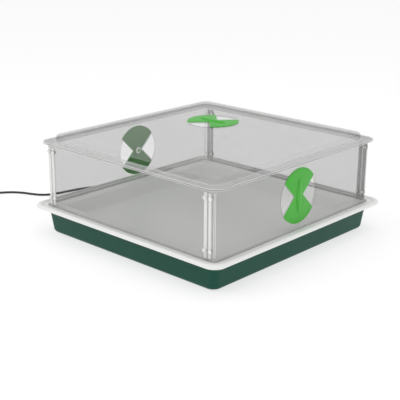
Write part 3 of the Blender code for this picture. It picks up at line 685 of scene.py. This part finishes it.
strip_finish = Finish("strip_clear", IOR=1.5)
strip_streak = strip_finish.noise(260, 3, stretch=(1, 1, 0.03))
strip_dust = strip_finish.noise(500, 3, 0.7)
strip_across = strip_finish.start.maths("ABSOLUTE", strip_finish.start.node(
    "SeparateXYZ", {}, {"Vector": strip_finish.place}), 0.0)
strip_across = strip_finish.start.maths(
    "ABSOLUTE", strip_across - (HALF_WALL_X - STRIP_INSET), 0.0)
on_rib = within(strip_across, 0.0016, 0.0104, 0.0006)
strip_clear = strip_finish.feed(
    Base_Color=strip_finish.mix(on_rib, (0.40, 0.405, 0.395), (0.88, 0.88, 0.87)),
    Roughness=strip_dust * 0.10 + 0.14,
    Alpha=(on_rib * 0.48 + strip_streak * 0.12 + 0.14).clamped(),
    Normal=strip_finish.bump(strip_streak, 0.15, 0.0008))


def corner_placing(side_x, side_y, x=0.0, z=0.0):
    """Where a piece modelled on the front face at the middle goes, at one of the corners."""
    placing = Matrix.Rotation(0 if side_y < 0 else pi, 4, "Z")
    placing.translation = (side_x * (HALF_WALL_X - STRIP_INSET) + x,
                           side_y * (HALF_WALL_Y + WALL_GAP), z)
    return placing


def copy_of(piece, name):
    """A copy of a piece with its own mesh."""
    double = piece.copy()
    double.data = piece.data.copy()
    double.name = name
    bpy.context.scene.collection.objects.link(double)
    return double


corners = (("front_left", -1, -1), ("front_right", 1, -1),
           ("rear_left", -1, 1), ("rear_right", 1, 1))
for corner, side_x, side_y in corners:
    corner_strip = copy_of(strip, "ribbed_strip_" + corner)
    stand(corner_strip, corner_placing(side_x, side_y))
    finish_piece(corner_strip, strip_clear, "wall_frame", "clear_plastic",
                 "corner_strip_" + corner)
bpy.data.objects.remove(strip)

# Rivets: white nylon push rivets, four to a strip, with a domed head that has a dimple in its
# middle and a scalloped edge, and a spread end inside.
RIVET_HEAD = 0.0046
RIB_OFFSET = 0.0080
RIVET_HEIGHTS = (0.0900, 0.2050)
seat = RIB_CROWN + WALL_GAP
rivet = turned("rivet", [
    (0.0006, seat + 0.0022), (0.0013, seat + 0.0024), (0.0018, seat + 0.0029),
    (0.0026, seat + 0.0027), (0.0036, seat + 0.0020), (0.0043, seat + 0.0012),
    (RIVET_HEAD, seat + 0.0007), (RIVET_HEAD, seat), (0.0024, seat), (0.0024, -0.0026),
    (0.0036, -0.0026), (0.0034, -0.0038), (0.0014, -0.0052), (0.0006, -0.0052)], 32)
bpy.ops.object.mode_set(mode="EDIT")
choose(lambda v: v.index % 4 == 0 and v.co.to_2d().length > 0.0040 and v.co.z > 0)
bpy.ops.transform.resize(value=(0.93, 0.93, 1), center_override=(0, 0, 0))
bpy.ops.object.mode_set(mode="OBJECT")
stand(rivet, axis_placing((0, 0, 0), (0, -1, 0), (1, 0, 0)))
smooth(rivet, 50)

nylon = Finish("nylon_white")
nylon_cloud = nylon.noise(160, 3)
nylon_white = nylon.feed(
    Base_Color=nylon.mix(nylon_cloud, (0.90, 0.90, 0.89), (0.82, 0.82, 0.80)),
    Roughness=nylon_cloud * 0.15 + 0.28,
    Normal=nylon.bump(nylon.noise(900, 2), 0.15, 0.0003))
for corner, side_x, side_y in corners:
    places = [(offset, height) for height in RIVET_HEIGHTS
              for offset in (-RIB_OFFSET, RIB_OFFSET)]
    for number, (offset, height) in enumerate(places, 1):
        head = copy_of(rivet, "push_rivet_%s_%d" % (corner, number))
        stand(head, corner_placing(side_x, side_y, offset, height))
        finish_piece(head, nylon_white, "wall_frame", "rivet_white",
                     "rivet_%s_%d" % (corner, number))
bpy.data.objects.remove(rivet)
for side in ("left", "right", "lid"):
    paint(nodes["vent_clip_" + side], nylon_white)

# Lid: one clear formed sheet, with a raised flat top, a ledge that rests on the walls and a
# lip that turns down round them. The ledge and lip are the whitest part of it, from light
# gathering there, which is painted in as whiter, more opaque bands.
LID_LEDGE = 0.2306
LID_TOP = 0.2440


# Painted highlights on the lid: the ledge and lip band and thin lines at its folds, by height,
# where light gathers.
def lid_painted_highlights(clear):
    band = within(clear.z, 0.2230, LID_LEDGE, 0.0004)
    streak = clear.noise(14, 2, stretch=(1, 1, 8))
    lip_line = within(clear.z, 0.2243, 0.2251, 0.0002)
    shoulder_line = within(clear.z, 0.2283, 0.2297, 0.0003)
    foot_line = within(clear.z, 0.2303, 0.2318, 0.0003)
    crest_line = within(clear.z, 0.2424, LID_TOP - 0.0003, 0.0003)
    return (band * (streak * 0.25 + 0.30) + (lip_line + shoulder_line) * 0.55
            + foot_line * 0.60 + crest_line * 0.50)


lid_clear = clear_sheet("lid_clear", lid_painted_highlights)
paint(nodes["lid"], lid_clear)

# Vents: bright green moulded bow-tie shutters, one in each end wall and one in the lid. Each
# turns on a stub that clips through the sheet, and has a spindle-shaped grip across it.
VENT_RADIUS, VENT_NOTCH = 0.0650, 0.0145
SHUTTER_LOW, SHUTTER_HIGH = 0.0003, 0.0023
LOBE_ROUND = 0.0055
GRIP_HALF, GRIP_WIDE, GRIP_HIGH = 0.0400, 0.0088, 0.0040
NOTCH_BLOCK = 0.12
LID_VENT_X, LID_VENT_Y = -0.0760, 0.0965


def combine(piece, other, operation):
    """Cut one piece from another, or weld it on."""
    only(piece)
    change = piece.modifiers.new("change", "BOOLEAN")
    change.operation = operation
    change.solver = "EXACT"
    change.object = other
    bpy.ops.object.modifier_apply(modifier="change")
    bpy.data.objects.remove(other)


bpy.ops.object.select_all(action="DESELECT")
bpy.ops.mesh.primitive_cylinder_add(
    vertices=96, radius=VENT_RADIUS, depth=SHUTTER_HIGH - SHUTTER_LOW,
    location=(0, 0, (SHUTTER_LOW + SHUTTER_HIGH) / 2))
shutter = bpy.context.object
bpy.ops.object.transform_apply(location=True, rotation=True, scale=True)
for side in (-1, 1):
    bpy.ops.mesh.primitive_cube_add(
        size=NOTCH_BLOCK, rotation=(0, 0, radians(45)),
        location=(side * (VENT_NOTCH + NOTCH_BLOCK / sqrt(2)), 0, 0))
    combine(shutter, bpy.context.object, "DIFFERENCE")


def is_lobe_corner(edge):
    a, b = (shutter.data.vertices[index].co for index in edge.vertices)
    upright = abs(a.z - b.z) > 0.001
    return (upright and abs(a.to_2d().length - VENT_RADIUS) < 0.0004
            and abs(abs(a.x) - abs(a.y) - VENT_NOTCH) < 0.0004)


only(shutter)
bpy.ops.object.mode_set(mode="EDIT")
choose(is_lobe_corner, "EDGE")
bpy.ops.mesh.bevel(offset=LOBE_ROUND, segments=6, profile=0.5)
bpy.ops.object.mode_set(mode="OBJECT")
round_edges(shutter, 0.0006, 3, 50)

grip_levels = []
for step in range(-12, 13):
    along = step / 12
    taper = 1 - 0.80 * along ** 2
    height = GRIP_HIGH * (1 - 0.55 * abs(along) ** 3)
    grip_levels.append((GRIP_WIDE * taper, height, along * GRIP_HALF))
grip = start_round("grip", 1, 0, 24)
bpy.ops.transform.resize(value=(grip_levels[0][0], grip_levels[0][1], 1),
                         center_override=(0, 0, 0))
bpy.ops.transform.translate(value=(0, 0, grip_levels[0][2]))
draw_out(grip_levels[1:], grip_levels[0])
close_up(24)
stand(grip, axis_placing((0, 0, SHUTTER_HIGH), (0, 1, 0), (1, 0, 0)))
only(grip)
bpy.ops.object.mode_set(mode="EDIT")
bpy.ops.mesh.select_all(action="SELECT")
bpy.ops.mesh.bisect(plane_co=(0, 0, SHUTTER_HIGH - 0.0008), plane_no=(0, 0, 1),
                    use_fill=True, clear_inner=True)
bpy.ops.object.mode_set(mode="OBJECT")
combine(shutter, grip, "UNION")
stub = turned("stub", [(0.0034, -0.0078), (0.0040, -0.0072), (0.0040, 0.0016)], 24)
combine(shutter, stub, "UNION")
smooth(shutter, 32)

leaf = Finish("vent_green", Subsurface_Weight=0.45, Subsurface_Radius=(0.3, 1.0, 0.2),
              Subsurface_Scale=0.004, Specular_IOR_Level=0.35)
leaf_cloud = leaf.noise(24, 3)
leaf_grain = leaf.noise(1300, 2)
vent_green = leaf.feed(
    Base_Color=leaf.mix(leaf_cloud, (0.056, 0.405, 0.036), (0.078, 0.460, 0.050)),
    Roughness=leaf_cloud * 0.15 + 0.30,
    Normal=leaf.bump(leaf_grain, 0.2, 0.0003))
vent_places = (
    ("left", "vent_left", (-HALF_WALL_X, LEFT_VENT_Y, VENT_HEIGHT), (-1, 0, 0), (0, -1, 0)),
    ("right", "vent_right", (HALF_WALL_X, 0, VENT_HEIGHT), (1, 0, 0), (0, 1, 0)),
    ("lid", "vent_lid", (LID_VENT_X, LID_VENT_Y, LID_TOP), (0, 0, 1), (0, 1, 0)))
for side, body, middle, outward, sideways in vent_places:
    moulded_shutter = copy_of(shutter, "bow_tie_" + side)
    stand(moulded_shutter, axis_placing(middle, outward, sideways))
    finish_piece(moulded_shutter, vent_green, body, "vent_green", "vent_shutter_" + side)
bpy.data.objects.remove(shutter)
